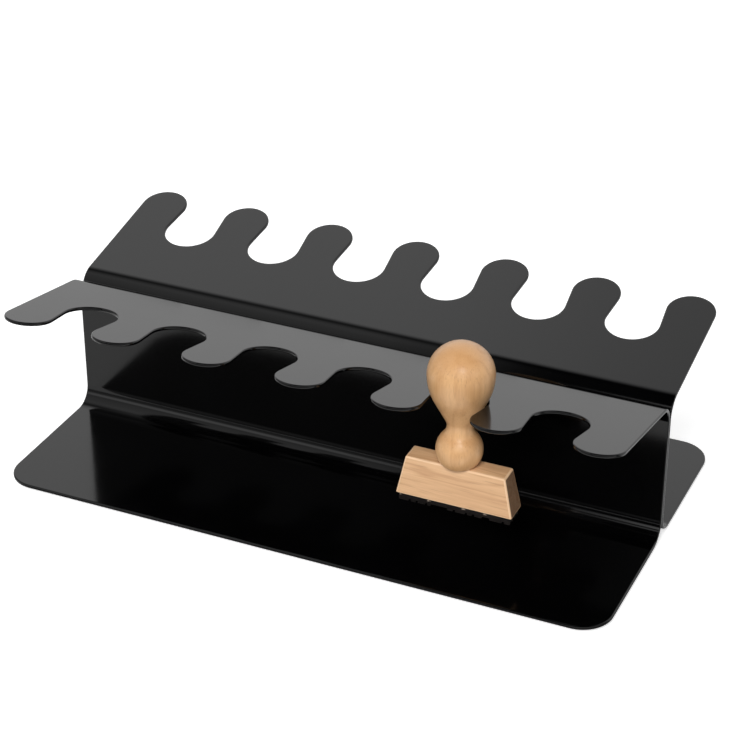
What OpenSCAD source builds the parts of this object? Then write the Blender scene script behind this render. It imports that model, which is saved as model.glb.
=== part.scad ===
// Desk rack for hand stamps: two bent sheets joined back to back, each with a
// foot plate, an upright and a slotted comb, and one wooden stamp hanging in a slot.
// Frame: X along the row of slots, +Y to the rear, +Z up. The origin is on the desk,
// below the middle of the rack.

/* [Rack] */
// Length of the rack along its row of slots
rack_len = 200; // [190:1:300]
// Depth of a foot plate, from the joint between the sheets to its edge
foot_depth = 55; // [36:1:90]
// Height of the upright, from the foot plate's underside to the upper bend
upright_h = 41.5; // [34:0.5:90]
// Thickness of the sheets
sheet_t = 1.2; // [0.8:0.1:2]

/* [Combs] */
// Number of slots in each comb
slots = 6; // [2:1:6]
// Distance from one slot to the next
slot_pitch = 30.75; // [27:0.05:32]
// Width of a slot at its round end
slot_w = 17; // [14:0.1:18.4]
// Depth of a slot, from the finger tips to its round end
slot_depth = 26.5; // [22:0.5:36]
// Length of a comb's flat part, from the bend to the finger tips
comb_len = 45.5; // [40:0.5:70]
// Angle at which the combs rise above level
comb_rise = 11; // [4:0.5:25]
// Radius of the round finger tips
tip_r = 7.75; // [5:0.05:8.2]

/* [Bends and corners] */
// Inner radius of the bend between foot plate and upright
low_bend_r = 6; // [2:0.5:12]
// Outer radius of the bend between upright and comb
top_bend_r = 7; // [3:0.5:12]
// Corner radius of the foot plates
foot_corner_r = 10; // [2:0.5:20]

/* [Welds and pads] */
// Number of spot welds along the upright
welds = 5; // [3:1:8]
// Diameter of a spot weld
weld_d = 4; // [3:0.5:6]
// Depth of a spot weld in each sheet
weld_depth = 0.4; // [0.2:0.05:0.6]
// Distance from the outer welds to the rack's ends
weld_end = 20; // [10:1:40]
// Diameter of a pad under the foot plates
pad_d = 10; // [6:0.5:14]
// Thickness of a pad
pad_h = 1; // [0.5:0.1:3]
// Distance from a pad's centre to the foot plate's edges
pad_inset = 12; // [8:0.5:18]

/* [Stamp handle] */
// Diameter of the head
head_d = 20; // [19.5:0.1:24]
// Radius of the head's side, seen from the side
head_side_r = 18; // [12:0.5:22]
// Slope of the head's underside, from upright
taper = 28; // [20:0.5:35]
// Diameter of the neck
neck_d = 7.8; // [6:0.1:9]
// Radius of the hollow round the neck
neck_r = 4.5; // [3:0.1:6]
// Diameter of the ball above the block
ball_d = 14.2; // [13:0.1:16]
// Height of the ball's centre above the block
ball_h = 4.7; // [3:0.1:5.2]
// Diameter of the tenon in the block
tenon_d = 4; // [3:0.1:5]
// Length of the tenon
tenon_len = 8; // [4:0.5:10]

/* [Stamp block] */
// Length of the block's top
block_top_len = 31.5; // [24:0.5:45]
// Length of the block's foot
block_foot_len = 37; // [24:0.5:50]
// Width of the block's top
block_top_w = 7; // [6.5:0.5:16]
// Width of the block's foot
block_foot_w = 8.5; // [6.5:0.5:20]
// Height of the block
block_h = 13; // [11:0.5:20]

/* [Stamp face] */
// Thickness of the foam cushion
cushion_t = 1; // [0.5:0.1:3]
// Thickness of the rubber die without its relief
die_t = 0.8; // [0.5:0.1:2]
// Height of the die's relief
relief_h = 0.7; // [0.4:0.1:1.2]
// Distance from the block's edge to the cushion and die
face_inset = 0.8; // [0.3:0.1:1.5]
// Width of the relief's border and bars
relief_w = 0.8; // [0.5:0.1:1.2]
// Number of bars inside the relief's border
relief_bars = 2; // [1:1:2]

/* [Fits] */
// Slot that the stamp hangs in, counted from the left of the front comb
stamp_slot = 5; // [1:1:6]
// Clearance between the hanging stamp and the slot's edge
seat_gap = 0.35; // [0.2:0.05:0.6]
// Clearance round the tenon and below it
tenon_gap = 0.1; // [0.05:0.05:0.3]
// Clearance round a spot weld
weld_gap = 0.05; // [0.02:0.01:0.1]

/* [Hidden] */
$fn = 96;
lacquer_black = [0.06, 0.06, 0.065];
weld_grey = [0.55, 0.55, 0.57];
pad_black = [0.12, 0.12, 0.12];
handle_wood = [0.84, 0.68, 0.5];
block_wood = [0.84, 0.68, 0.53];
foam_grey = [0.25, 0.25, 0.26];
die_brown = [0.16, 0.11, 0.1];
// Length by which a cutter runs past the face that it opens
past = 1;

// Points on an arc, from one angle to another, with a step of about arc_step degrees
arc_step = 6;
function arc(x, y, r, from, to) =
  let (n = ceil(abs(to - from) / arc_step))
  [for (i = [0 : n]) let (a = from + (to - from) * i / n) [x + r * cos(a), y + r * sin(a)]];

// Comb
slot_r = slot_w / 2;
slot_centre = comb_len - slot_depth + slot_r;
tip_centre = comb_len - tip_r;
function slot_x(i) = (i - (slots - 1) / 2) * slot_pitch;
// A finger's side is the line that touches its round tip and the round end of the slot beside it;
// side_touch points from the centre of a slot on the left to the point where its round end is touched
side_run = [slot_pitch / 2, tip_centre - slot_centre];
side_a = atan2(side_run.y, side_run.x) - acos((slot_r + tip_r) / norm(side_run));
side_touch = [cos(side_a), sin(side_a)];
// Place on a comb's upper face where its flat part starts, on the rear sheet
comb_y = top_bend_r * (1 - sin(comb_rise));
comb_z = pad_h + upright_h + top_bend_r * cos(comb_rise);

// Side view of the rear sheet, Y to the right, Z up from its underside; the comb runs past its tips
low = sheet_t + low_bend_r;
tip_y = comb_y + (comb_len + past) * cos(comb_rise);
tip_z = comb_z - pad_h + (comb_len + past) * sin(comb_rise);
sheet_profile = concat(
  [[foot_depth, 0]],
  arc(low, low, low, 270, 180),
  arc(top_bend_r, upright_h, top_bend_r, 180, 90 + comb_rise),
  [[tip_y, tip_z], [tip_y + sheet_t * sin(comb_rise), tip_z - sheet_t * cos(comb_rise)]],
  arc(top_bend_r, upright_h, top_bend_r - sheet_t, 90 + comb_rise, 180),
  arc(low, low, low_bend_r, 180, 270),
  [[foot_depth, sheet_t]]
);

// Welds stand halfway up the flat part of the upright
weld_z = pad_h + (sheet_t + low_bend_r + upright_h) / 2;
function weld_x(i) = (i / (welds - 1) - 0.5) * (rack_len - 2 * weld_end);

// Handle profile: radii, and heights above the block's top
head_r = head_d / 2;
ball_r = ball_d / 2;
hollow_x = neck_d / 2 + neck_r;
hollow_z = ball_h + sqrt(pow(neck_r + ball_r, 2) - pow(hollow_x, 2));
taper_low_r = hollow_x - neck_r * cos(taper);
taper_low_z = hollow_z + neck_r * sin(taper);
taper_top_r = head_r - head_side_r * (1 - cos(taper));
taper_top_z = taper_low_z + (taper_top_r - taper_low_r) / tan(taper);
head_z = taper_top_z + head_side_r * sin(taper);
// Angles at which the ball meets the block's top and the neck's hollow
ball_low_a = -asin(ball_h / ball_r);
ball_top_a = atan2(hollow_z - ball_h, hollow_x);
// Half of the handle's outline, with its tenon: X is the radius, Y the height above the block
handle_profile = concat(
  [[0, -tenon_len], [tenon_d / 2, -tenon_len], [tenon_d / 2, 0]],
  arc(0, ball_h, ball_r, ball_low_a, ball_top_a),
  arc(hollow_x, hollow_z, neck_r, 180 + ball_top_a - arc_step, 180 - taper),
  arc(head_r - head_side_r, head_z, head_side_r, -taper, 0),
  arc(0, head_z, head_r, arc_step, 90)
);
// Height on the head's underside at radius r, and radius there at height z
function under_z(r) = r < taper_top_r
  ? taper_low_z + (r - taper_low_r) / tan(taper)
  : head_z - sqrt(pow(head_side_r, 2) - pow(r + head_side_r - head_r, 2));
function under_r(z) = z < taper_top_z
  ? taper_low_r + (z - taper_low_z) * tan(taper)
  : head_r - head_side_r + sqrt(pow(head_side_r, 2) - pow(head_z - z, 2));

// Stamp at rest: its head's underside hangs on the slot's edges, pushed in to the round end
seat_side = seat_gap / cos(taper);
seat_z = under_z(slot_r - seat_side);
seat_in_r = under_r(seat_z - slot_r * sin(comb_rise));
seat_in = (slot_r * cos(comb_rise) - seat_in_r - seat_side) / (1 + tan(comb_rise) * tan(taper));
stamp_s = slot_centre - seat_in / cos(comb_rise);
stamp_x = slot_x(min(stamp_slot, slots) - 1);
stamp_y = -comb_y - stamp_s * cos(comb_rise);
stamp_z = comb_z + stamp_s * sin(comb_rise) - seat_z;
face_len = block_foot_len - 2 * face_inset;
face_w = block_foot_w - 2 * face_inset;

// One finger of a comb, with its tip's centre at x; it reaches to the centres of the slots beside it,
// whose round ends are cut from it later
module finger(x) {
  slot = [slot_pitch / 2, slot_centre];
  half = [
    slot,
    slot + slot_r * [-side_touch.x, side_touch.y],
    [0, tip_centre] + tip_r * [side_touch.x, -side_touch.y]
  ];
  translate([x, 0]) {
    polygon(concat(half, [for (i = [2 : -1 : 0]) [-half[i].x, half[i].y]]));
    translate([0, tip_centre]) circle(r = tip_r);
  }
}

// The last finger on the right, out to the rack's end
module end_finger() {
  inner = slot_x(slots - 1) + slot_pitch / 2;
  outer = rack_len / 2 - tip_r;
  finger(inner);
  translate([inner, slot_centre])
    square([rack_len / 2 + past - inner, tip_centre - slot_centre]);
  if (outer > inner) {
    translate([inner, tip_centre]) square([outer - inner, tip_r]);
    translate([outer, tip_centre]) circle(r = tip_r);
  }
}

// What is cut from a comb: X along the row, Y from the bend to past the tips
module comb_cut() {
  difference() {
    translate([-rack_len / 2 - past, slot_centre])
      square([rack_len + 2 * past, slot_depth - slot_r + 2 * past]);
    for (i = [1 : slots - 1]) {
      finger(slot_x(i) - slot_pitch / 2);
    }
    end_finger();
    mirror([1, 0]) end_finger();
  }
  for (i = [0 : slots - 1]) {
    translate([slot_x(i), slot_centre]) circle(d = slot_w);
  }
}

// What is cut from the two outer corners of a foot plate
module foot_cut() {
  r = foot_corner_r;
  for (side = [-1, 1]) {
    translate([side * (rack_len / 2 - r), foot_depth - r]) difference() {
      translate([side < 0 ? -r - past : 0, 0]) square(r + past);
      circle(r = r);
    }
  }
}

// The welds' discs, or the pockets for them with a clearance
module weld_discs(gap) {
  depth = weld_depth + gap;
  for (i = [0 : welds - 1]) {
    translate([weld_x(i), depth, weld_z]) rotate([90, 0, 0])
      cylinder(d = weld_d + 2 * gap, h = 2 * depth);
  }
}

// The rear sheet; the front one is its mirror image
module sheet() {
  difference() {
    translate([-rack_len / 2, 0, pad_h]) rotate([90, 0, 90]) linear_extrude(rack_len)
      polygon(sheet_profile);
    translate([0, 0, pad_h - past]) linear_extrude(sheet_t + 2 * past) foot_cut();
    translate([0, comb_y, comb_z]) rotate([comb_rise, 0, 0]) translate([0, 0, -sheet_t - past])
      linear_extrude(sheet_t + 2 * past) comb_cut();
    weld_discs(weld_gap);
  }
}

// A pad under one corner of the foot plates
module pad(side_x, side_y) {
  x = side_x * (rack_len / 2 - pad_inset);
  y = side_y * (foot_depth - pad_inset);
  color(pad_black) translate([x, y, 0]) cylinder(d = pad_d, h = pad_h);
}

// Places a piece of the stamp, drawn from the middle of the block's top
module at_stamp() {
  translate([stamp_x, stamp_y, stamp_z]) children();
}

// Trapezium in the XZ plane, thick along Y, with its top at the origin
module trapezium(top, foot, h, thick) {
  translate([0, thick / 2, 0]) rotate([90, 0, 0]) linear_extrude(thick)
    polygon([[-foot / 2, -h], [foot / 2, -h], [top / 2, 0], [-top / 2, 0]]);
}

module front_sheet() {
  color(lacquer_black) mirror([0, 1, 0]) sheet();
}

module rear_sheet() {
  color(lacquer_black) sheet();
}

module spot_welds() {
  color(weld_grey) weld_discs(0);
}

module pad_front_left() {
  pad(-1, -1);
}

module pad_front_right() {
  pad(1, -1);
}

module pad_rear_left() {
  pad(-1, 1);
}

module pad_rear_right() {
  pad(1, 1);
}

module stamp_handle() {
  color(handle_wood) at_stamp() rotate_extrude() polygon(handle_profile);
}

module stamp_block() {
  bore_h = tenon_len + tenon_gap;
  longest = max(block_top_len, block_foot_len);
  widest = max(block_top_w, block_foot_w);
  color(block_wood) at_stamp() difference() {
    intersection() {
      trapezium(block_top_len, block_foot_len, block_h, widest);
      rotate([0, 0, 90]) trapezium(block_top_w, block_foot_w, block_h, longest);
    }
    translate([0, 0, -bore_h]) cylinder(d = tenon_d + 2 * tenon_gap, h = bore_h + past);
  }
}

module stamp_cushion() {
  color(foam_grey) at_stamp() translate([-face_len / 2, -face_w / 2, -block_h - cushion_t])
    cube([face_len, face_w, cushion_t]);
}

module stamp_die() {
  top = -block_h - cushion_t;
  inner_len = face_len - 2 * relief_w;
  inner_w = face_w - 2 * relief_w;
  bar_len = inner_len - 2 * relief_w;
  bar_step = inner_w / (relief_bars + 1);
  color(die_brown) at_stamp() {
    difference() {
      translate([-face_len / 2, -face_w / 2, top - die_t - relief_h])
        cube([face_len, face_w, die_t + relief_h]);
      translate([-inner_len / 2, -inner_w / 2, top - die_t - relief_h - past])
        cube([inner_len, inner_w, relief_h + past]);
    }
    for (i = [1 : relief_bars]) {
      translate([-bar_len / 2, -inner_w / 2 + i * bar_step - relief_w / 2, top - die_t - relief_h])
        cube([bar_len, relief_w, relief_h]);
    }
  }
}

front_sheet();
rear_sheet();
spot_welds();
pad_front_left();
pad_front_right();
pad_rear_left();
pad_rear_right();
stamp_handle();
stamp_block();
stamp_cushion();
stamp_die();
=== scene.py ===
import math

import bmesh
import bpy
from bpy.props import FloatProperty, FloatVectorProperty, IntProperty, PointerProperty
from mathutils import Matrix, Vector


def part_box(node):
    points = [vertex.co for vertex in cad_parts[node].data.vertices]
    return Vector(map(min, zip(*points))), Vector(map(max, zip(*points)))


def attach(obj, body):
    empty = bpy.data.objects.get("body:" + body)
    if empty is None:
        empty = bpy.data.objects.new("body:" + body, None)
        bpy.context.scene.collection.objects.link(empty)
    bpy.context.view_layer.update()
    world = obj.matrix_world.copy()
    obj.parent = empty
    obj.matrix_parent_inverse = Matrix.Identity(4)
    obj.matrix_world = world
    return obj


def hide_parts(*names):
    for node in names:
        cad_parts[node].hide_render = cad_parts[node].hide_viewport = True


bl_info = {
    "name": "Stamp Rack",
    "version": (1, 0, 0),
    "blender": (4, 5, 0),
    "location": "View3D > Sidebar > Stamp Rack",
    "description": "Dresses the stamp rack's frame with lacquered sheets and a wooden stamp",
    "category": "Object",
}

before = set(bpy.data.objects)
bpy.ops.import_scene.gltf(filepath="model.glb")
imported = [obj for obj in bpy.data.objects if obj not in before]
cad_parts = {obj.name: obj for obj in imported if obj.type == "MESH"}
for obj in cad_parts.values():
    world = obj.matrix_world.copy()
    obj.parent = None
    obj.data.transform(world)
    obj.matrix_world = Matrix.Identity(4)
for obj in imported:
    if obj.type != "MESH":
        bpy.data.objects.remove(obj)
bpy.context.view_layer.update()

MM = 0.001
# Width of the camera's sensor in millimetres, and the nearest distance that it sees
SENSOR_W = 36.0
NEAREST = 0.05
SHEET_LOW, SHEET_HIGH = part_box("rear_sheet")
BLOCK_LOW, BLOCK_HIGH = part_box("stamp_block")
# The stamp's own origin: the middle of its block's top
STAMP_AT = Vector(((BLOCK_LOW.x + BLOCK_HIGH.x) / 2, (BLOCK_LOW.y + BLOCK_HIGH.y) / 2, BLOCK_HIGH.z))
# Light of the room in front: height of the direction from 0, level, to 1, straight up, and share of the light
ROOM_LIGHT = (
    (0.0, 0.18), (0.20, 0.25), (0.31, 0.9), (0.38, 1.0), (0.43, 0.9),
    (0.50, 0.35), (0.60, 0.45), (0.78, 0.5), (0.88, 0.58),
)
# Light of the window on the right of that room, in the same terms
WINDOW_LIGHT = (
    (0.20, 0.0), (0.34, 1.0), (0.42, 1.0), (0.48, 0.0),
    (0.53, 0.0), (0.57, 0.7), (0.61, 0.7), (0.66, 0.0),
)
# Where the studio's light changes from left to right, as the part of the direction along X: on the backdrop's
# upper half, in the room in front and at its window
BACKDROP_TURN, ROOM_TURN, WINDOW_TURN = (-0.36, -0.20), (-0.36, -0.28), (-0.26, -0.21)
# Where it changes from the backdrop's lower to its upper half, as the part of the direction along Z
BACKDROP_RISE = (0.50, 0.75)
# Where the backdrop begins and where the room in front ends, as the part of the direction along Y
BACKDROP_START, ROOM_END = (0.12, 0.52), (-0.22, 0.28)
# Half the floor's width
FLOOR_REACH = 4.0
# Places along Y where the floor in front changes from dim to pale, apart from the camera's own view of it:
# its colour is dimmed there as painted shade
FLOOR_FADE = (-0.22, -0.07)
# Mirror images show the floor dim also in a strip close before the rack and on the right of its front half,
# painted shade in the floor's colour:
# how far it reaches before the rack, the width over which it fades there, and that of its other two sides
STRIP_W = 0.004
STRIP_FADE = 0.003
STRIP_END = 0.01
PAD_CORNERS = ("front_left", "front_right", "rear_left", "rear_right")
# Points nearer than this are one point
SAME_POINT = 1e-7
# Edges between faces that meet at more than this angle, in degrees, are sharp
SHARP = 35
# Noise in cells a metre: the lacquer's clouds, orange peel, dust and patches of dust; the wood's fibres,
# patches and pores; the bloom on rubber; the heat tint and pits of the welds
CLOUD_CELLS, PEEL_CELLS, DUST_CELLS, DUSTY_CELLS = 24.0, 620.0, 1900.0, 60.0
FIBRE_CELLS, PATCH_CELLS, PORE_CELLS = 1900.0, 110.0, 2600.0
BLOOM_CELLS = 130.0
HEAT_CELLS, PIT_CELLS = 420.0, 2400.0
# Skins of the soft pieces: cells a metre and strength
PAD_SKIN, FOAM_SKIN, DIE_SKIN = (1800.0, 0.35), (2600.0, 0.7), (1500.0, 0.3)
# Parts of a noise's range over which a finish changes
MIDDLE, WIDE = (0.3, 0.7), (0.25, 0.75)
# Depths of the rings and of the end grain in the wood of the handle, the block and the block's edges; on the
# block's ends the end grain is deepened with painted shade
HANDLE_DEPTHS, BLOCK_DEPTHS, EDGE_DEPTHS = (0.35, 0.4), (0.5, 0.95), (0.3, 0.5)
# How far the wood's rings, fibres, patches and pores are drawn out along the grain: width over length
RING_DRAWN, FIBRE_DRAWN, PATCH_DRAWN, PORE_DRAWN = 0.10, 0.03, 0.25, 0.05
# Rings of wood to each cell of the field that they are drawn from
RINGS_A_CELL = 2.5
# Collection of the pieces that the lamp for the varnish lights
VARNISHED = "varnished_wood"
# Lengths of the dashes in the die's relief, in millimetres, repeated along a row
DASHES = (3.2, 1.6, 2.4, 1.1, 4.0, 1.9)
# One in so many dashes is left out, and so many places further along in each next row
DASHES_A_BREAK, BREAK_SHIFT = 5, 2


def length(name, description, default):
    """A size in metres, from its default in millimetres."""
    return FloatProperty(name=name, description=description, default=default * MM, min=0.0, unit="LENGTH")


def angle(name, description, default):
    """An angle in radians, from its default in degrees."""
    return FloatProperty(name=name, description=description, default=math.radians(default), subtype="ANGLE")


def share(name, description, default):
    """A plain factor from 0 to 1."""
    return FloatProperty(
        name=name, description=description, default=default, min=0.0, max=1.0, subtype="FACTOR"
    )


def level(name, description, default):
    """A light level, where 1 is white."""
    return FloatProperty(name=name, description=description, default=default, min=0.0)


def colour(name, description, default):
    """A linear colour."""
    return FloatVectorProperty(
        name=name, description=description, default=default, size=3, min=0.0, max=1.0, subtype="COLOR"
    )


class RackSizes(bpy.types.PropertyGroup):
    """Sizes of the two bent sheets and the pads under them."""

    rack_len: length("Length", "Length along the row of slots", (SHEET_HIGH.x - SHEET_LOW.x) / MM)
    foot_depth: length("Foot depth", "Depth of a foot plate from the joint of the sheets", SHEET_HIGH.y / MM)
    underside: length("Underside", "Height of the sheets' underside above the desk", SHEET_LOW.z / MM)
    upright_h: length("Upright", "Height of the upright below the upper bend", 41.5)
    sheet_t: length("Thickness", "Thickness of the sheets", 1.2)
    low_bend_r: length("Lower bend", "Inner radius of the bend above the foot plate", 6.0)
    top_bend_r: length("Upper bend", "Outer radius of the bend below the comb", 7.0)
    foot_corner_r: length("Foot corners", "Corner radius of the foot plates", 10.0)
    slots: IntProperty(name="Slots", description="Number of slots in each comb", default=6, min=1)
    slot_pitch: length("Slot pitch", "Distance from one slot to the next", 30.75)
    slot_w: length("Slot width", "Width of a slot at its round end", 17.0)
    slot_depth: length("Slot depth", "Depth of a slot from the finger tips", 26.5)
    comb_len: length("Comb length", "Length of a comb from the bend to the finger tips", 45.5)
    comb_rise: angle("Comb rise", "Angle of the combs above level", 11.0)
    tip_r: length("Tip radius", "Radius of the round finger tips", 7.75)
    edge_r: length("Edge radius", "Radius of the coated edges", 0.45)
    pad_edge_r: length("Pad edge", "Radius of the pads' lower edge", 0.35)


class StampSizes(bpy.types.PropertyGroup):
    """Sizes of the wooden stamp, with heights from the block's top."""

    head_d: length("Head", "Diameter of the head", 20.0)
    head_side_r: length("Head side", "Radius of the head's side, seen from the side", 18.0)
    taper: angle("Taper", "Slope of the head's underside from upright", 28.0)
    neck_d: length("Neck", "Diameter of the neck", 7.8)
    neck_r: length("Neck hollow", "Radius of the hollow round the neck", 4.5)
    ball_d: length("Ball", "Diameter of the ball above the block", 14.2)
    ball_h: length("Ball height", "Height of the ball's centre above the block", 4.7)
    tenon_d: length("Tenon", "Diameter of the tenon in the block", 4.0)
    tenon_len: length("Tenon length", "Length of the tenon", 8.0)
    handle_edge_r: length("Handle edge", "Radius of the handle's sharp edges", 0.15)
    block_top_len: length("Block top", "Length of the block's top", 31.5)
    block_foot_len: length("Block foot", "Length of the block's foot", 37.0)
    block_top_w: length("Block top width", "Width of the block's top", 7.0)
    block_foot_w: length("Block foot width", "Width of the block's foot", 8.5)
    block_h: length("Block height", "Height of the block", 13.0)
    block_edge_r: length("Block edge", "Radius of the block's sanded edges", 0.5)
    relief_h: length("Relief", "Height of the die's relief", 0.7)
    relief_w: length("Relief width", "Width of the relief's rows", 0.8)
    relief_rows: IntProperty(name="Relief rows", description="Rows of the die's relief", default=4, min=2)
    relief_gap: length("Relief gap", "Gap between the dashes of the relief", 0.7)
    face_edge_r: length("Face edge", "Radius of the edges of the cushion and die", 0.12)
    foam_corner_r: length("Foam corners", "Corner radius of the foam cushion", 0.6)
    foam_drawn: length("Foam sides", "How far the foam's cut sides are drawn in at half height", 0.15)


class Finishes(bpy.types.PropertyGroup):
    """Colours and gloss of the surfaces."""

    lacquer: colour("Lacquer", "Colour of the gloss lacquer", (0.0005, 0.0005, 0.0006))
    lacquer_gloss: share("Lacquer roughness", "Least roughness of the lacquer", 0.09)
    dust: colour("Dust", "Colour of the dust on the lacquer", (0.03, 0.03, 0.031))
    handle_light: colour("Handle wood", "Pale wood of the turned handle", (0.70, 0.420, 0.205))
    handle_dark: colour("Handle grain", "Darker grain of the turned handle", (0.50, 0.260, 0.105))
    handle_end: colour("Handle end grain", "Amber end grain of the turned handle", (0.46, 0.215, 0.075))
    handle_ring: length("Handle rings", "Gap between the rings of the handle's wood", 3.4)
    block_light: colour("Block wood", "Pale wood of the block", (0.74, 0.465, 0.255))
    block_dark: colour("Block grain", "Darker grain of the block", (0.48, 0.255, 0.120))
    # Dark tone of the block's ends: partly end grain, partly painted shade
    block_end_grain_and_shade: colour("Block end grain", "Dark end grain of the block", (0.075, 0.030, 0.010))
    block_edge: colour("Block edges", "Pale wood of the block's sanded edges", (0.79, 0.55, 0.35))
    block_ring: length("Block rings", "Gap between the rings of the block's wood", 1.9)
    varnish: share("Varnish", "Weight of the clear satin varnish", 0.5)
    pad_rubber: colour("Pad rubber", "Colour of the pads", (0.022, 0.022, 0.023))
    foam: colour("Foam", "Colour of the foam cushion", (0.007, 0.0065, 0.0065))
    fleck: colour("Flecks", "Colour of the flecks of glue on the cushion", (0.30, 0.24, 0.19))
    fleck_gap: length("Fleck gap", "Distance from one fleck to the next", 9.0)
    die_rubber: colour("Die rubber", "Colour of the rubber die", (0.007, 0.0055, 0.005))
    weld_steel: colour("Weld steel", "Colour of the bare spot welds", (0.42, 0.42, 0.43))
    weld_heat: colour("Weld tint", "Heat tint of the spot welds", (0.30, 0.22, 0.17))


class StageSettings(bpy.types.PropertyGroup):
    """Camera, lamps and floor."""

    azimuth: angle("Azimuth", "Camera's turn round the rack from straight in front", 24.17)
    elevation: angle("Elevation", "Camera's height above level", 29.82)
    distance: length("Distance", "Distance from the camera to its target", 686.9)
    focal: FloatProperty(name="Focal length", description="Lens of the camera in millimetres", default=107.9)
    target_x: length("Target across", "Place along the row that the camera looks at", 2.4)
    target_z: length("Target height", "Height that the camera looks at", 37.6)
    key_power: FloatProperty(
        name="Key lamp", description="Power of the key lamp", default=9.0, min=0.0, unit="POWER"
    )
    key_turn: angle("Key turn", "Key lamp's turn round the rack from straight in front", 9.0)
    key_rise: angle("Key height", "Key lamp's height above level", 44.0)
    key_size: length("Key size", "Diameter of the key lamp", 480.0)
    lamp_away: length("Lamp distance", "Distance from the lamps to the rack", 1100.0)
    sheen_power: FloatProperty(
        name="Sheen lamp", description="Power of the lamp for the varnish", default=1.5, min=0.0, unit="POWER"
    )
    sheen_turn: angle("Sheen turn", "Sheen lamp's turn round the rack from straight in front", 28.0)
    sheen_rise: angle("Sheen height", "Sheen lamp's height above level", 42.0)
    sheen_size: length("Sheen size", "Diameter of the sheen lamp", 300.0)
    backdrop_low: level("Backdrop", "Light of the backdrop near the floor", 0.97)
    backdrop_left: level("Upper left", "Light of the backdrop's upper left", 1.1)
    backdrop_right: level("Upper right", "Light of the backdrop's upper right", 0.78)
    front_left: level("Front left", "Light of the room in front, on the left", 1.1)
    front_right: level("Front right", "Light of the window in front, on the right", 1.6)
    fill: share("Fill light", "Share of the room's light that falls on matt surfaces", 0.9)
    floor: colour("Floor", "Colour of the floor", (0.9, 0.9, 0.9))
    floor_lift: share("Floor lift", "White added to the floor round the rack where the camera sees it", 0.6)
    floor_near: length("Floor near", "Distance from the rack where the floor begins to fade to white", 350.0)
    floor_far: length("Floor far", "Distance from the rack where the floor is white", 1800.0)
    # Share of the floor's colour kept under its painted shade
    floor_painted_shade: share("Dim floor", "Share of its colour that the floor keeps where it is dim", 0.25)


class StampRackSettings(bpy.types.PropertyGroup):
    """All that a user can change."""

    rack: PointerProperty(type=RackSizes)
    stamp: PointerProperty(type=StampSizes)
    finish: PointerProperty(type=Finishes)
    stage: PointerProperty(type=StageSettings)


class NodeWork:
    """Adds nodes to one tree and feeds their sockets."""

    def __init__(self, tree):
        self.tree = tree
        self.coords = tree.nodes.new("ShaderNodeTexCoord")

    def feed(self, socket, value):
        """Links the value if it is another node's socket, or else sets it."""
        if isinstance(value, bpy.types.NodeSocket):
            self.tree.links.new(value, socket)
        else:
            socket.default_value = value

    def node(self, kind, inputs, output=0, **settings):
        """Adds one node and returns its output socket."""
        made = self.tree.nodes.new("ShaderNode" + kind)
        for key, value in settings.items():
            setattr(made, key, value)
        for key, value in inputs.items():
            self.feed(made.inputs[key], value)
        return made.outputs[output]

    def place(self, scale=(1.0, 1.0, 1.0)):
        """Coordinates in the piece's own frame, stretched where the scale is below 1."""
        return self.node("Mapping", {"Vector": self.coords.outputs["Object"], "Scale": scale})

    def part(self, vector, axis):
        """One part of a vector, by its axis number."""
        return self.node("SeparateXYZ", {"Vector": vector}, axis)

    def noise(self, place, scale, detail=2.0, roughness=0.5):
        """Cloudy noise from 0 to 1, with the scale in cells a metre."""
        inputs = {"Vector": place, "Scale": scale, "Detail": detail, "Roughness": roughness}
        return self.node("TexNoise", inputs)

    def span(self, value, low, high, to_low=0.0, to_high=1.0):
        """Maps a range of values to another, with the ends held and the middle eased."""
        inputs = {"Value": value, "From Min": low, "From Max": high, "To Min": to_low, "To Max": to_high}
        return self.node("MapRange", inputs, interpolation_type="SMOOTHSTEP")

    def steps(self, value, stops):
        """A value that follows (place, value) stops, eased between them."""
        made = self.tree.nodes.new("ShaderNodeValToRGB")
        ramp = made.color_ramp
        ramp.interpolation = "EASE"
        for i, (place, light) in enumerate(stops):
            stop = ramp.elements[i] if i < len(ramp.elements) else ramp.elements.new(place)
            stop.position, stop.color = place, (light, light, light, 1.0)
        self.feed(made.inputs["Fac"], value)
        return made.outputs["Color"]

    def sums(self, operation, first, second):
        """One sum on two values."""
        made = self.tree.nodes.new("ShaderNodeMath")
        made.operation = operation
        self.feed(made.inputs[0], first)
        self.feed(made.inputs[1], second)
        return made.outputs[0]

    def tint(self, factor, low, high):
        """Mixes two colours."""
        made = self.tree.nodes.new("ShaderNodeMix")
        made.data_type = "RGBA"
        sockets = {socket.identifier: socket for socket in made.inputs}
        self.feed(sockets["Factor_Float"], factor)
        for key, value in (("A_Color", low), ("B_Color", high)):
            self.feed(sockets[key], value if isinstance(value, bpy.types.NodeSocket) else (*value, 1.0))
        return next(socket for socket in made.outputs if socket.identifier == "Result_Color")

    def bump(self, height, strength, distance, normal=None):
        """A bump from a height value, over an earlier one if given."""
        inputs = {"Height": height, "Strength": strength, "Distance": distance}
        if normal is not None:
            inputs["Normal"] = normal
        return self.node("Bump", inputs)


class Finish(NodeWork):
    """A material under construction."""

    def __init__(self, name):
        self.material = bpy.data.materials.new(name)
        self.material.use_nodes = True
        super().__init__(self.material.node_tree)
        self.shader = next(n for n in self.tree.nodes if n.type == "BSDF_PRINCIPLED")

    def done(self, **sockets):
        """Feeds the shader's sockets and returns the material."""
        for key, value in sockets.items():
            self.feed(self.shader.inputs[key.replace("_", " ")], value)
        return self.material


def scaled(rgb, factor):
    """A colour made lighter or darker."""
    return tuple(min(1.0, part * factor) for part in rgb)


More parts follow.
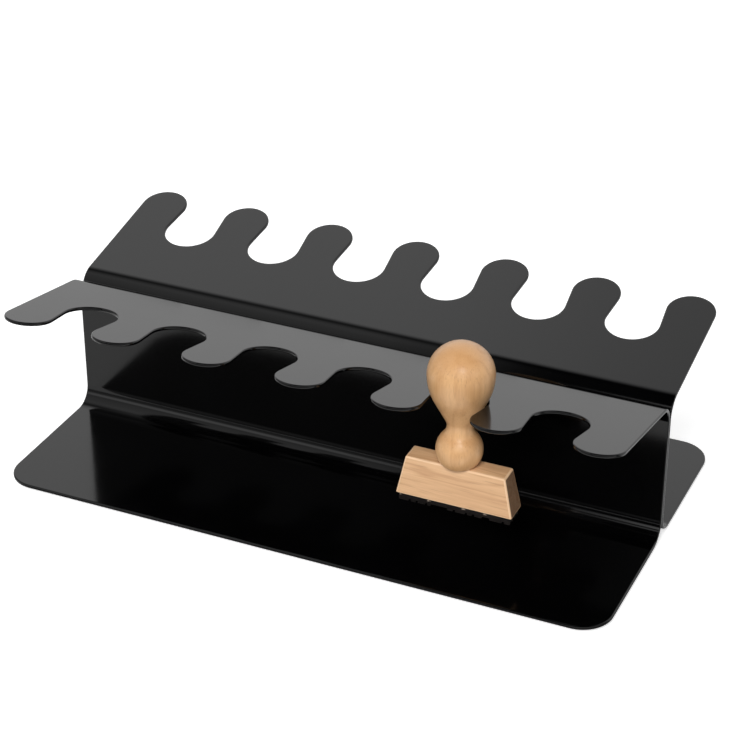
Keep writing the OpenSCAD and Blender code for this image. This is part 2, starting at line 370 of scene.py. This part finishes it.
def lacquer_finish(finish):
    """Gloss black stove lacquer: a faint orange peel, cloudy gloss and a little settled dust."""
    made = Finish("black_lacquer")
    place = made.place()
    cloud_lift, cloud_rough, dust_rough = 1.7, 1.5, 0.3
    specks, dusty = (0.78, 0.82), (0.55, 0.8)
    peel_strength, peel_h = 0.05, 0.04 * MM
    cloud = made.noise(place, CLOUD_CELLS, 4.0)
    peel = made.noise(place, PEEL_CELLS)
    dust = made.span(made.noise(place, DUST_CELLS, 1.0), *specks)
    dust = made.sums("MULTIPLY", dust, made.span(made.noise(place, DUSTY_CELLS), *dusty))
    coat = made.tint(made.span(cloud, *MIDDLE), finish.lacquer, scaled(finish.lacquer, cloud_lift))
    gloss = finish.lacquer_gloss
    rough = made.span(cloud, *MIDDLE, gloss, gloss * cloud_rough)
    return made.done(
        Base_Color=made.tint(dust, coat, finish.dust),
        Roughness=made.sums("ADD", rough, made.sums("MULTIPLY", dust, dust_rough)),
        IOR=1.5,
        Normal=made.bump(peel, peel_strength, peel_h),
    )


def wood_finish(name, tones, grain, varnish, along):
    """Pale close-grained wood under satin varnish, with its grain along one axis.

    The tones are its light wood, dark rings and end grain; the grain is the rings' gap, their depth and the
    depth of the end grain.
    On the block the end grain's tone and depth also carry painted shade on its ends.
    """
    made = Finish(name)
    light, dark, end = tones
    ring_gap, ring_depth, end_depth = grain
    late_part, fibre_depth, patch_depth, pore_depth, pore_shade = 0.55, 0.30, 0.34, 0.28, 0.6
    specks, end_facing, satin = (0.60, 0.74), (0.25, 0.85), (0.38, 0.52)
    relief, fibre_h, pore_h = 0.10, 0.05 * MM, 0.04 * MM

    def drawn(share_along):
        scale = [1.0, 1.0, 1.0]
        scale[along] = share_along
        return made.place(scale)

    # The rings are contour lines of a slow field, so they run, part and close as sawn rings do
    field = made.noise(drawn(RING_DRAWN), 1 / (RINGS_A_CELL * ring_gap), 2.0, 0.4)
    bands = made.sums("PINGPONG", made.sums("MULTIPLY", field, 4 * RINGS_A_CELL), 1.0)
    late = made.span(bands, 0.0, late_part, ring_depth, 0.0)
    fibre = made.noise(drawn(FIBRE_DRAWN), FIBRE_CELLS, 3.0, 0.6)
    patch = made.noise(drawn(PATCH_DRAWN), PATCH_CELLS, 3.0)
    pores = made.span(made.noise(drawn(PORE_DRAWN), PORE_CELLS, 1.0), *specks)
    depth = made.sums("MULTIPLY", late, made.span(patch, 0.35, 0.65, 0.35, 1.0))
    depth = made.sums("ADD", depth, made.span(fibre, *WIDE, 0.0, fibre_depth))
    depth = made.sums("ADD", depth, made.span(patch, *WIDE, patch_depth, 0.0))
    tone = made.tint(depth, light, dark)
    tone = made.tint(made.sums("MULTIPLY", pores, pore_depth), tone, scaled(dark, pore_shade))
    # Darker where the surface faces along the grain: end grain, and on the block's ends also painted shade
    facing = made.sums("ABSOLUTE", made.part(made.coords.outputs["Normal"], along), 0.0)
    end_grain_and_shade = made.span(facing, *end_facing, 0.0, end_depth)
    end_grain_and_shade = made.sums("MULTIPLY", end_grain_and_shade, made.span(fibre, 0.2, 0.7, 1.0, 0.75))
    normal = made.bump(fibre, relief, fibre_h)
    return made.done(
        Base_Color=made.tint(end_grain_and_shade, tone, end),
        Roughness=made.span(depth, 0.0, 0.8, *satin),
        Coat_Weight=varnish,
        Coat_Roughness=0.2,
        Normal=made.bump(pores, -relief, pore_h, normal),
    )


def rubber_finish(name, tone, skin, flecks=None):
    """Matt rubber or foam with a fine skin, given as cells a metre and strength.

    Pale flecks along X are given as their gap and tone.
    """
    made = Finish(name)
    place = made.place()
    cells, strength = skin
    bloom_low, bloom_high, matt, skin_h = 0.8, 1.7, (0.62, 0.86), 0.1 * MM
    grain = made.noise(place, cells, 3.0, 0.65)
    bloom = made.span(made.noise(place, BLOOM_CELLS, 3.0), 0.3, 0.75)
    base = made.tint(bloom, scaled(tone, bloom_low), scaled(tone, bloom_high))
    if flecks is not None:
        gap, fleck_tone = flecks
        scatter, ragged, fleck_edge = 0.55, 0.04, (0.03, 0.07)
        spots = {"W": made.part(place, 0), "Scale": 1 / gap, "Randomness": scatter}
        near = made.node("TexVoronoi", spots, voronoi_dimensions="1D")
        near = made.sums("ADD", near, made.span(grain, *MIDDLE, -ragged, ragged))
        base = made.tint(made.span(near, *fleck_edge, 1.0, 0.0), base, fleck_tone)
    return made.done(
        Base_Color=base,
        Roughness=made.span(grain, *WIDE, *matt),
        Specular_IOR_Level=0.2,
        Normal=made.bump(grain, strength, skin_h),
    )


def steel_finish(finish):
    """Bare weld steel with a heat tint."""
    made = Finish("weld_steel")
    place = made.place()
    pit_strength, pit_h = 0.3, 0.06 * MM
    heat = made.span(made.noise(place, HEAT_CELLS, 3.0), 0.35, 0.7)
    pits = made.noise(place, PIT_CELLS, 3.0)
    return made.done(
        Base_Color=made.tint(heat, finish.weld_steel, finish.weld_heat),
        Roughness=made.span(pits, *MIDDLE, 0.32, 0.52),
        Metallic=1.0,
        Normal=made.bump(pits, pit_strength, pit_h),
    )


def bearing(turn, rise):
    """Direction from the rack for a turn from straight in front and a rise above level."""
    run = math.cos(rise)
    return Vector((math.sin(turn) * run, -math.cos(turn) * run, math.sin(rise)))


def arc(centre, radius, start, end, step=6.0):
    """Points on an arc between two angles in degrees, both ends included."""
    count = max(1, math.ceil(abs(end - start) / step))
    turns = [math.radians(start + (end - start) * i / count) for i in range(count + 1)]
    return [(centre[0] + radius * math.cos(a), centre[1] + radius * math.sin(a)) for a in turns]


def add_piece(name, bm, material):
    """Makes an object of a bmesh, smooth and with its normals outward."""
    bmesh.ops.recalc_face_normals(bm, faces=bm.faces)
    for face in bm.faces:
        face.smooth = True
    mesh = bpy.data.meshes.new(name)
    bm.to_mesh(mesh)
    bm.free()
    mesh.materials.append(material)
    piece = bpy.data.objects.new(name, mesh)
    bpy.context.scene.collection.objects.link(piece)
    return piece


def round_edges(piece, radius, segments=3, edge_material=None):
    """Rounds the sharp edges, in a material of their own if given, and keeps the large faces flat."""
    bevel = piece.modifiers.new("rounded edges", "BEVEL")
    bevel.width, bevel.segments = radius, segments
    bevel.limit_method, bevel.angle_limit = "ANGLE", math.radians(SHARP)
    if edge_material is not None:
        piece.data.materials.append(edge_material)
        bevel.material = len(piece.data.materials) - 1
    normals = piece.modifiers.new("flat faces", "WEIGHTED_NORMAL")
    normals.mode, normals.weight, normals.keep_sharp = "FACE_AREA", 100, False


def stand_for(piece, node, body):
    """The piece takes the place of a frame node and moves with its body."""
    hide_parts(node)
    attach(piece, body)


def turned(bm, profile, segments=96):
    """Turns (radius, height) points round Z; a point on the axis is a pole."""
    rings = []
    for radius, height in profile:
        if radius < SAME_POINT:
            rings.append([bm.verts.new((0.0, 0.0, height))])
            continue
        turns = [2 * math.pi * i / segments for i in range(segments)]
        rings.append([bm.verts.new((radius * math.cos(a), radius * math.sin(a), height)) for a in turns])
    for low, high in zip(rings, rings[1:]):
        for i in range(segments):
            j = (i + 1) % segments
            corners = [low[i % len(low)], low[j % len(low)], high[j % len(high)], high[i % len(high)]]
            bm.faces.new(list(dict.fromkeys(corners)))


def slot_x(rack, i):
    """Place of a slot's middle along the row."""
    return (i - (rack.slots - 1) / 2) * rack.slot_pitch


def comb_edge(rack):
    """A comb's free edge as (x, distance from the bend), from left to right.

    The sides of a finger are the lines that touch its round tip and the round ends of the slots beside it.
    """
    slot_r, tip_r, half = rack.slot_w / 2, rack.tip_r, rack.slot_pitch / 2
    slot_centre, tip_centre = rack.comb_len - rack.slot_depth + slot_r, rack.comb_len - tip_r
    climb, end = tip_centre - slot_centre, rack.rack_len / 2 - tip_r
    lean = math.degrees(math.atan2(climb, half) - math.acos((slot_r + tip_r) / math.hypot(half, climb)))
    edge = []
    for i in range(rack.slots + 1):
        first, last, middle = i == 0, i == rack.slots, slot_x(rack, i) - half
        edge += arc((-end if first else middle, tip_centre), tip_r, 180 if first else 180 + lean, 90)
        edge += arc((end if last else middle, tip_centre), tip_r, 90, 0 if last else -lean)
        if not last:
            edge += arc((slot_x(rack, i), slot_centre), slot_r, 180 - lean, 360 + lean)
    following = edge[1:] + edge[:1]
    return [point for point, after in zip(edge, following) if math.dist(point, after) > SAME_POINT]


def sheet_bends(rack, step=3.0):
    """Pairs of (y, z) points on the sheet's two faces, through both bends."""
    t, z0 = rack.sheet_t, rack.underside
    low = t + rack.low_bend_r
    rise = 90 + math.degrees(rack.comb_rise)
    low_centre, top_centre = (low, z0 + low), (rack.top_bend_r, z0 + rack.upright_h)
    inner = arc(low_centre, rack.low_bend_r, 270, 180, step)
    inner += arc(top_centre, rack.top_bend_r - t, 180, rise, step)
    outer = arc(low_centre, low, 270, 180, step) + arc(top_centre, rack.top_bend_r, 180, rise, step)
    return list(zip(inner, outer))


def bent_sheet(bm, rack, side):
    """One sheet as a closed mesh: side is -1 for the front and 1 for the rear."""
    t, z0, end = rack.sheet_t, rack.underside, rack.rack_len / 2
    depth, r = rack.foot_depth, rack.foot_corner_r
    bends = sheet_bends(rack)
    run, climb = math.cos(rack.comb_rise), math.sin(rack.comb_rise)
    (under_y, under_z), (over_y, over_z) = bends[-1]

    def pair(x, inner, outer):
        return tuple(bm.verts.new((x, side * y, z)) for y, z in (inner, outer))

    foot_edge = arc((-end + r, depth - r), r, 180, 90) + arc((end - r, depth - r), r, 90, 0)
    foot = [pair(x, (y, z0 + t), (y, z0)) for x, y in foot_edge]
    right = [pair(end, inner, outer) for inner, outer in bends]
    left = [pair(-end, inner, outer) for inner, outer in bends]
    comb = [
        pair(x, (under_y + s * run, under_z + s * climb), (over_y + s * run, over_z + s * climb))
        for x, s in reversed(comb_edge(rack))
    ]
    outlines = [foot + [right[0], left[0]], [left[-1], right[-1]] + comb]
    outlines += [[left[k], right[k], right[k + 1], left[k + 1]] for k in range(len(bends) - 1)]
    for outline in outlines:
        for face in (0, 1):
            bm.faces.new([corner[face] for corner in outline])
    rim = foot + right + comb + left[::-1]
    for this, following in zip(rim, rim[1:] + rim[:1]):
        bm.faces.new([this[0], this[1], following[1], following[0]])


def handle_profile(stamp):
    """Half of the handle's outline with its tenon: (radius, height above the block)."""
    head_r, ball_r, taper = stamp.head_d / 2, stamp.ball_d / 2, stamp.taper
    hollow_x = stamp.neck_d / 2 + stamp.neck_r
    hollow_z = stamp.ball_h + math.sqrt((stamp.neck_r + ball_r) ** 2 - hollow_x**2)
    taper_low = (hollow_x - stamp.neck_r * math.cos(taper), hollow_z + stamp.neck_r * math.sin(taper))
    taper_top_r = head_r - stamp.head_side_r * (1 - math.cos(taper))
    taper_top_z = taper_low[1] + (taper_top_r - taper_low[0]) / math.tan(taper)
    head_z = taper_top_z + stamp.head_side_r * math.sin(taper)
    ball_low = -math.degrees(math.asin(stamp.ball_h / ball_r))
    ball_top = math.degrees(math.atan2(hollow_z - stamp.ball_h, hollow_x))
    slope = math.degrees(taper)
    step = 4.0
    profile = [(0.0, -stamp.tenon_len), (stamp.tenon_d / 2, -stamp.tenon_len), (stamp.tenon_d / 2, 0.0)]
    profile += arc((0.0, stamp.ball_h), ball_r, ball_low, ball_top, step)
    profile += arc((hollow_x, hollow_z), stamp.neck_r, 180 + ball_top, 180 - slope, step)[1:]
    profile += arc((head_r - stamp.head_side_r, head_z), stamp.head_side_r, -slope, 0, step)
    profile += arc((0.0, head_z), head_r, 0, 90, step)[1:-1]
    return profile + [(0.0, head_z + head_r)]


def stack(bm, rings):
    """Closes a stack of rings of points, from one end to the other, into a solid."""
    rings = [[bm.verts.new(point) for point in ring] for ring in rings]
    bm.faces.new(rings[0])
    bm.faces.new(rings[-1])
    for low, high in zip(rings, rings[1:]):
        for i in range(len(low)):
            j = (i + 1) % len(low)
            bm.faces.new([low[i], low[j], high[j], high[i]])


def frustum(bm, top, foot, height):
    """A block with its top at Z 0, from two (length, width) sizes."""
    signs = ((-1, -1), (1, -1), (1, 1), (-1, 1))
    ends = ((foot, -height), (top, 0.0))
    stack(bm, [[(sx * x / 2, sy * y / 2, z) for sx, sy in signs] for (x, y), z in ends])


def foam_strip(bm, stamp, low, high, layers=6):
    """A strip of foam between two corners, with its cut sides drawn in between the glued faces."""
    middle, reach, r = (low + high) / 2, (high - low) / 2, stamp.foam_corner_r
    corners = ((1, 1, 0), (-1, 1, 90), (-1, -1, 180), (1, -1, 270))
    rings = []
    for k in range(layers + 1):
        bend = r - stamp.foam_drawn * math.sin(math.pi * k / layers)
        ring = []
        for sx, sy, turn in corners:
            centre = (middle.x + sx * (reach.x - r), middle.y + sy * (reach.y - r))
            ring += arc(centre, bend, turn, turn + 90, 15.0)
        rings.append([(x, y, low.z + (high.z - low.z) * k / layers) for x, y in ring])
    stack(bm, rings)


def dash_ends(stamp, low, high):
    """Places along a row where the die's dashes begin and end in turn, fitted between two ends."""
    ends = [0.0]
    while ends[-1] < high - low:
        stop = ends[-1] + DASHES[len(ends) // 2 % len(DASHES)] * MM
        ends += [stop, stop + stamp.relief_gap]
    scale = (high - low) / ends[-2]
    return [low + end * scale for end in ends[:-1]]


def relief_plate(bm, xs, ys, zs):
    """A plate with broken rows of dashes standing out below it, as one closed mesh.

    The places along X and Y begin and end its dashes and rows in turn, and cut it into cells. The heights are
    those of its top, of its underside and of the dashes' faces.
    """
    corners = {}

    def corner(i, j, k):
        if (i, j, k) not in corners:
            corners[i, j, k] = bm.verts.new((xs[i], ys[j], zs[k]))
        return corners[i, j, k]

    def depth(i, j):
        if not (0 <= i < len(xs) - 1 and 0 <= j < len(ys) - 1):
            return 0
        broken = (i // 2 + BREAK_SHIFT * (j // 2)) % DASHES_A_BREAK == DASHES_A_BREAK - 1
        return 1 if i % 2 or j % 2 or broken else 2

    for i in range(len(xs) - 1):
        for j in range(len(ys) - 1):
            ring = ((i, j), (i + 1, j), (i + 1, j + 1), (i, j + 1))
            beside = ((i, j - 1), (i + 1, j), (i, j + 1), (i - 1, j))
            for k in (0, depth(i, j)):
                bm.faces.new([corner(*place, k) for place in ring])
            for this, following, cell in zip(ring, ring[1:] + ring[:1], beside):
                for k in range(depth(*cell), depth(i, j)):
                    wall = ((this, k), (following, k), (following, k + 1), (this, k + 1))
                    bm.faces.new([corner(*place, height) for place, height in wall])


class STAMPRACK_OT_stage(bpy.types.Operator):
    """Set up the floor, the lamps and the camera"""

    bl_idname = "stamp_rack.stage"
    bl_label = "Floor, lamps and camera"

    def execute(self, context):
        stage = context.scene.stamp_rack.stage
        context.scene.view_settings.view_transform = "Standard"
        self.add_floor(stage)
        self.add_world(context.scene, stage)
        self.add_lamps(stage)
        self.add_camera(context.scene, stage)
        return {"FINISHED"}

    def add_floor(self, stage):
        """A wide pale floor, white to the eye further out, and dim in front in mirror images: painted shade
        in its colour.
        """
        made = Finish("pale_floor")
        path = made.tree.nodes.new("ShaderNodeLightPath")
        away = made.node("VectorMath", {0: made.coords.outputs["Object"]}, "Value", operation="LENGTH")
        lift = made.span(away, stage.floor_near, stage.floor_far, stage.floor_lift, 1.0)
        across, along = (made.part(made.coords.outputs["Object"], axis) for axis in (0, 1))
        # Painted shade: the floor's colour dims in front, and in mirror images also in the strip before the
        # rack
        left, front = SHEET_LOW.x, -SHEET_HIGH.y - STRIP_W
        clear = made.sums("SUBTRACT", 1.0, path.outputs["Is Glossy Ray"])
        for side in (
            made.span(across, left, left + STRIP_END, 1.0, 0.0),
            made.span(along, front - STRIP_FADE, front, 1.0, 0.0),
            made.span(along, -STRIP_END, 0.0),
        ):
            clear = made.sums("MAXIMUM", clear, side)
        pale = made.sums("MULTIPLY", clear, made.span(along, *FLOOR_FADE))
        pale = made.sums("MAXIMUM", pale, path.outputs["Is Camera Ray"])
        made.done(
            Base_Color=made.tint(pale, scaled(stage.floor, stage.floor_painted_shade), stage.floor),
            Roughness=0.9,
            Specular_IOR_Level=0.1,
            Emission_Color=(1.0, 1.0, 1.0, 1.0),
            Emission_Strength=made.sums("MULTIPLY", path.outputs["Is Camera Ray"], lift),
        )
        bm = bmesh.new()
        bmesh.ops.create_grid(bm, x_segments=1, y_segments=1, size=FLOOR_REACH)
        add_piece("floor", bm, made.material)

    def add_world(self, scene, stage):
        """A white studio: plain white to the eye, and in mirror images bright behind and dim in front."""
        world = bpy.data.worlds.new("white_studio")
        world.use_nodes = True
        work = NodeWork(world.node_tree)
        across, back, up = (work.part(work.coords.outputs["Generated"], axis) for axis in range(3))
        upper = work.span(across, *BACKDROP_TURN, stage.backdrop_left, stage.backdrop_right)
        backdrop = work.span(up, *BACKDROP_RISE, stage.backdrop_low, upper)
        backdrop = work.sums("MULTIPLY", backdrop, work.span(back, *BACKDROP_START))
        room = work.span(across, *ROOM_TURN, stage.front_left, 0.0)
        room = work.sums("MULTIPLY", room, work.steps(up, ROOM_LIGHT))
        window = work.span(across, *WINDOW_TURN, 0.0, stage.front_right)
        window = work.sums("MULTIPLY", window, work.steps(up, WINDOW_LIGHT))
        room = work.sums("ADD", room, window)
        room = work.sums("MULTIPLY", room, work.span(back, *ROOM_END, 1.0, 0.0))
        studio = work.sums("ADD", backdrop, room)
        path = world.node_tree.nodes.new("ShaderNodeLightPath")
        mirrored = work.sums("MAXIMUM", path.outputs["Is Glossy Ray"], path.outputs["Is Transmission Ray"])
        light = work.sums("MULTIPLY", studio, work.span(mirrored, 0.0, 1.0, stage.fill, 1.0))
        light = work.sums("MAXIMUM", light, path.outputs["Is Camera Ray"])
        background = next(n for n in world.node_tree.nodes if n.type == "BACKGROUND")
        background.inputs["Color"].default_value = (1.0, 1.0, 1.0, 1.0)
        work.feed(background.inputs["Strength"], light)
        scene.world = world

    def add_lamps(self, stage):
        """A soft key lamp above the camera, unseen in mirror images, and a small one for the varnish."""
        way = (stage.key_turn, stage.key_rise)
        key = self.add_lamp("key_lamp", stage, stage.key_power, stage.key_size, way)
        key.visible_glossy = False
        way = (stage.sheen_turn, stage.sheen_rise)
        sheen = self.add_lamp("sheen_lamp", stage, stage.sheen_power, stage.sheen_size, way)
        sheen.light_linking.receiver_collection = bpy.data.collections.new(VARNISHED)

    def add_lamp(self, name, stage, power, size, way):
        """One round lamp that faces the rack from a (turn, rise) direction."""
        lamp = bpy.data.lights.new(name, "AREA")
        lamp.shape, lamp.size, lamp.energy = "DISK", size, power
        made = bpy.data.objects.new(name, lamp)
        towards = bearing(*way)
        made.location = towards * stage.lamp_away
        made.rotation_euler = (-towards).to_track_quat("-Z", "Y").to_euler()
        bpy.context.scene.collection.objects.link(made)
        return made

    def add_camera(self, scene, stage):
        """The photograph's viewing angle and lens."""
        lens = bpy.data.cameras.new("camera")
        lens.sensor_width, lens.lens = SENSOR_W, stage.focal
        lens.clip_start = NEAREST
        camera = bpy.data.objects.new("camera", lens)
        back = bearing(stage.azimuth, stage.elevation)
        camera.location = Vector((stage.target_x, 0.0, stage.target_z)) + back * stage.distance
        camera.rotation_euler = (-back).to_track_quat("-Z", "Y").to_euler()
        scene.collection.objects.link(camera)
        scene.camera = camera


class STAMPRACK_OT_sheets(bpy.types.Operator):
    """Build the two lacquered sheets"""

    bl_idname = "stamp_rack.sheets"
    bl_label = "Lacquered sheets"

    def execute(self, context):
        settings = context.scene.stamp_rack
        lacquer = lacquer_finish(settings.finish)
        for name, side in (("front", -1), ("rear", 1)):
            bm = bmesh.new()
            bent_sheet(bm, settings.rack, side)
            piece = add_piece(name + "_lacquered_sheet", bm, lacquer)
            round_edges(piece, settings.rack.edge_r)
            stand_for(piece, name + "_sheet", "rack")
        return {"FINISHED"}


class STAMPRACK_OT_welds(bpy.types.Operator):
    """Give the spot welds between the sheets their bare steel"""

    bl_idname = "stamp_rack.welds"
    bl_label = "Spot welds"

    def execute(self, context):
        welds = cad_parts["spot_welds"]
        welds.data.materials.clear()
        welds.data.materials.append(steel_finish(context.scene.stamp_rack.finish))
        return {"FINISHED"}


class STAMPRACK_OT_pads(bpy.types.Operator):
    """Build the four rubber pads under the foot plates"""

    bl_idname = "stamp_rack.pads"
    bl_label = "Rubber pads"

    def execute(self, context):
        settings = context.scene.stamp_rack
        rubber = rubber_finish("pad_rubber", settings.finish.pad_rubber, PAD_SKIN)
        edge = settings.rack.pad_edge_r
        for corner in PAD_CORNERS:
            low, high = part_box("pad_" + corner)
            radius, height = (high.x - low.x) / 2, high.z - low.z
            profile = [(0.0, 0.0)] + arc((radius - edge, edge), edge, -90, 0, 15)
            profile += [(radius, height), (0.0, height)]
            bm = bmesh.new()
            turned(bm, profile, 48)
            piece = add_piece("rubber_pad_" + corner, bm, rubber)
            piece.location = ((low.x + high.x) / 2, (low.y + high.y) / 2, low.z)
            stand_for(piece, "pad_" + corner, "rack")
        return {"FINISHED"}


class STAMPRACK_OT_handle(bpy.types.Operator):
    """Build the stamp's turned wooden handle"""

    bl_idname = "stamp_rack.handle"
    bl_label = "Turned handle"

    def execute(self, context):
        settings = context.scene.stamp_rack
        tones = settings.finish
        shades = (tones.handle_light, tones.handle_dark, tones.handle_end)
        wood = wood_finish("handle_wood", shades, (tones.handle_ring, *HANDLE_DEPTHS), tones.varnish, 2)
        bm = bmesh.new()
        turned(bm, handle_profile(settings.stamp))
        piece = add_piece("turned_handle", bm, wood)
        piece.location = STAMP_AT
        round_edges(piece, settings.stamp.handle_edge_r, 2)
        stand_for(piece, "stamp_handle", "stamp")
        bpy.data.collections[VARNISHED].objects.link(piece)
        return {"FINISHED"}


class STAMPRACK_OT_block(bpy.types.Operator):
    """Build the stamp's wooden block"""

    bl_idname = "stamp_rack.block"
    bl_label = "Wooden block"

    def execute(self, context):
        settings = context.scene.stamp_rack
        tones, stamp = settings.finish, settings.stamp
        shades = (tones.block_light, tones.block_dark, tones.block_end_grain_and_shade)
        wood = wood_finish("block_wood", shades, (tones.block_ring, *BLOCK_DEPTHS), tones.varnish, 0)
        # Paler wood on the block's rounded edges
        pale = (tones.block_edge, tones.block_light, tones.block_light)
        paler = wood_finish("paler_edges", pale, (tones.block_ring, *EDGE_DEPTHS), tones.varnish, 0)
        bm = bmesh.new()
        top = (stamp.block_top_len, stamp.block_top_w)
        foot = (stamp.block_foot_len, stamp.block_foot_w)
        frustum(bm, top, foot, stamp.block_h)
        piece = add_piece("wooden_block", bm, wood)
        piece.location = STAMP_AT
        round_edges(piece, stamp.block_edge_r, edge_material=paler)
        stand_for(piece, "stamp_block", "stamp")
        bpy.data.collections[VARNISHED].objects.link(piece)
        return {"FINISHED"}


class STAMPRACK_OT_face(bpy.types.Operator):
    """Build the foam cushion and the rubber die under the block"""

    bl_idname = "stamp_rack.face"
    bl_label = "Cushion and die"

    def execute(self, context):
        settings = context.scene.stamp_rack
        tones = settings.finish
        foam = rubber_finish("cushion_foam", tones.foam, FOAM_SKIN, (tones.fleck_gap, tones.fleck))
        low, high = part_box("stamp_cushion")
        bm = bmesh.new()
        foam_strip(bm, settings.stamp, low - STAMP_AT, high - STAMP_AT)
        cushion = add_piece("foam_cushion", bm, foam)
        cushion.location = STAMP_AT
        round_edges(cushion, settings.stamp.face_edge_r)
        stand_for(cushion, "stamp_cushion", "stamp")
        self.add_die(settings.stamp, rubber_finish("die_rubber", tones.die_rubber, DIE_SKIN))
        return {"FINISHED"}

    def add_die(self, stamp, rubber):
        """The die: a plate with rows of dashes standing out below it."""
        low, high = (corner - STAMP_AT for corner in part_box("stamp_die"))
        bm = bmesh.new()
        row_step = (high.y - low.y - stamp.relief_w) / (stamp.relief_rows - 1)
        fronts = [low.y + row * row_step for row in range(stamp.relief_rows)]
        rows = [y for front in fronts for y in (front, front + stamp.relief_w)]
        relief_plate(bm, dash_ends(stamp, low.x, high.x), rows, (high.z, low.z + stamp.relief_h, low.z))
        die = add_piece("rubber_die", bm, rubber)
        die.location = STAMP_AT
        round_edges(die, stamp.face_edge_r, 2)
        stand_for(die, "stamp_die", "stamp")


OPERATORS = (
    STAMPRACK_OT_stage,
    STAMPRACK_OT_sheets,
    STAMPRACK_OT_welds,
    STAMPRACK_OT_pads,
    STAMPRACK_OT_handle,
    STAMPRACK_OT_block,
    STAMPRACK_OT_face,
)


class STAMPRACK_PT_panel(bpy.types.Panel):
    """Lists the rack's pieces and sizes in the sidebar"""

    bl_idname = "STAMPRACK_PT_panel"
    bl_label = "Stamp Rack"
    bl_space_type = "VIEW_3D"
    bl_region_type = "UI"
    bl_category = "Stamp Rack"

    def draw(self, context):
        settings = context.scene.stamp_rack
        for operator in OPERATORS:
            self.layout.operator(operator.bl_idname)
        for group in (settings.rack, settings.stamp, settings.finish, settings.stage):
            box = self.layout.box()
            for key in group.__annotations__:
                box.prop(group, key)


CLASSES = (
    RackSizes,
    StampSizes,
    Finishes,
    StageSettings,
    StampRackSettings,
    *OPERATORS,
    STAMPRACK_PT_panel,
)


def register():
    for cls in CLASSES:
        bpy.utils.register_class(cls)
    bpy.types.Scene.stamp_rack = PointerProperty(type=StampRackSettings)


def unregister():
    del bpy.types.Scene.stamp_rack
    for cls in reversed(CLASSES):
        bpy.utils.unregister_class(cls)


def main():
    register()
    bpy.ops.stamp_rack.stage()
    bpy.ops.stamp_rack.sheets()
    bpy.ops.stamp_rack.welds()
    bpy.ops.stamp_rack.pads()
    bpy.ops.stamp_rack.handle()
    bpy.ops.stamp_rack.block()
    bpy.ops.stamp_rack.face()


if __name__ == "__main__":
    main()
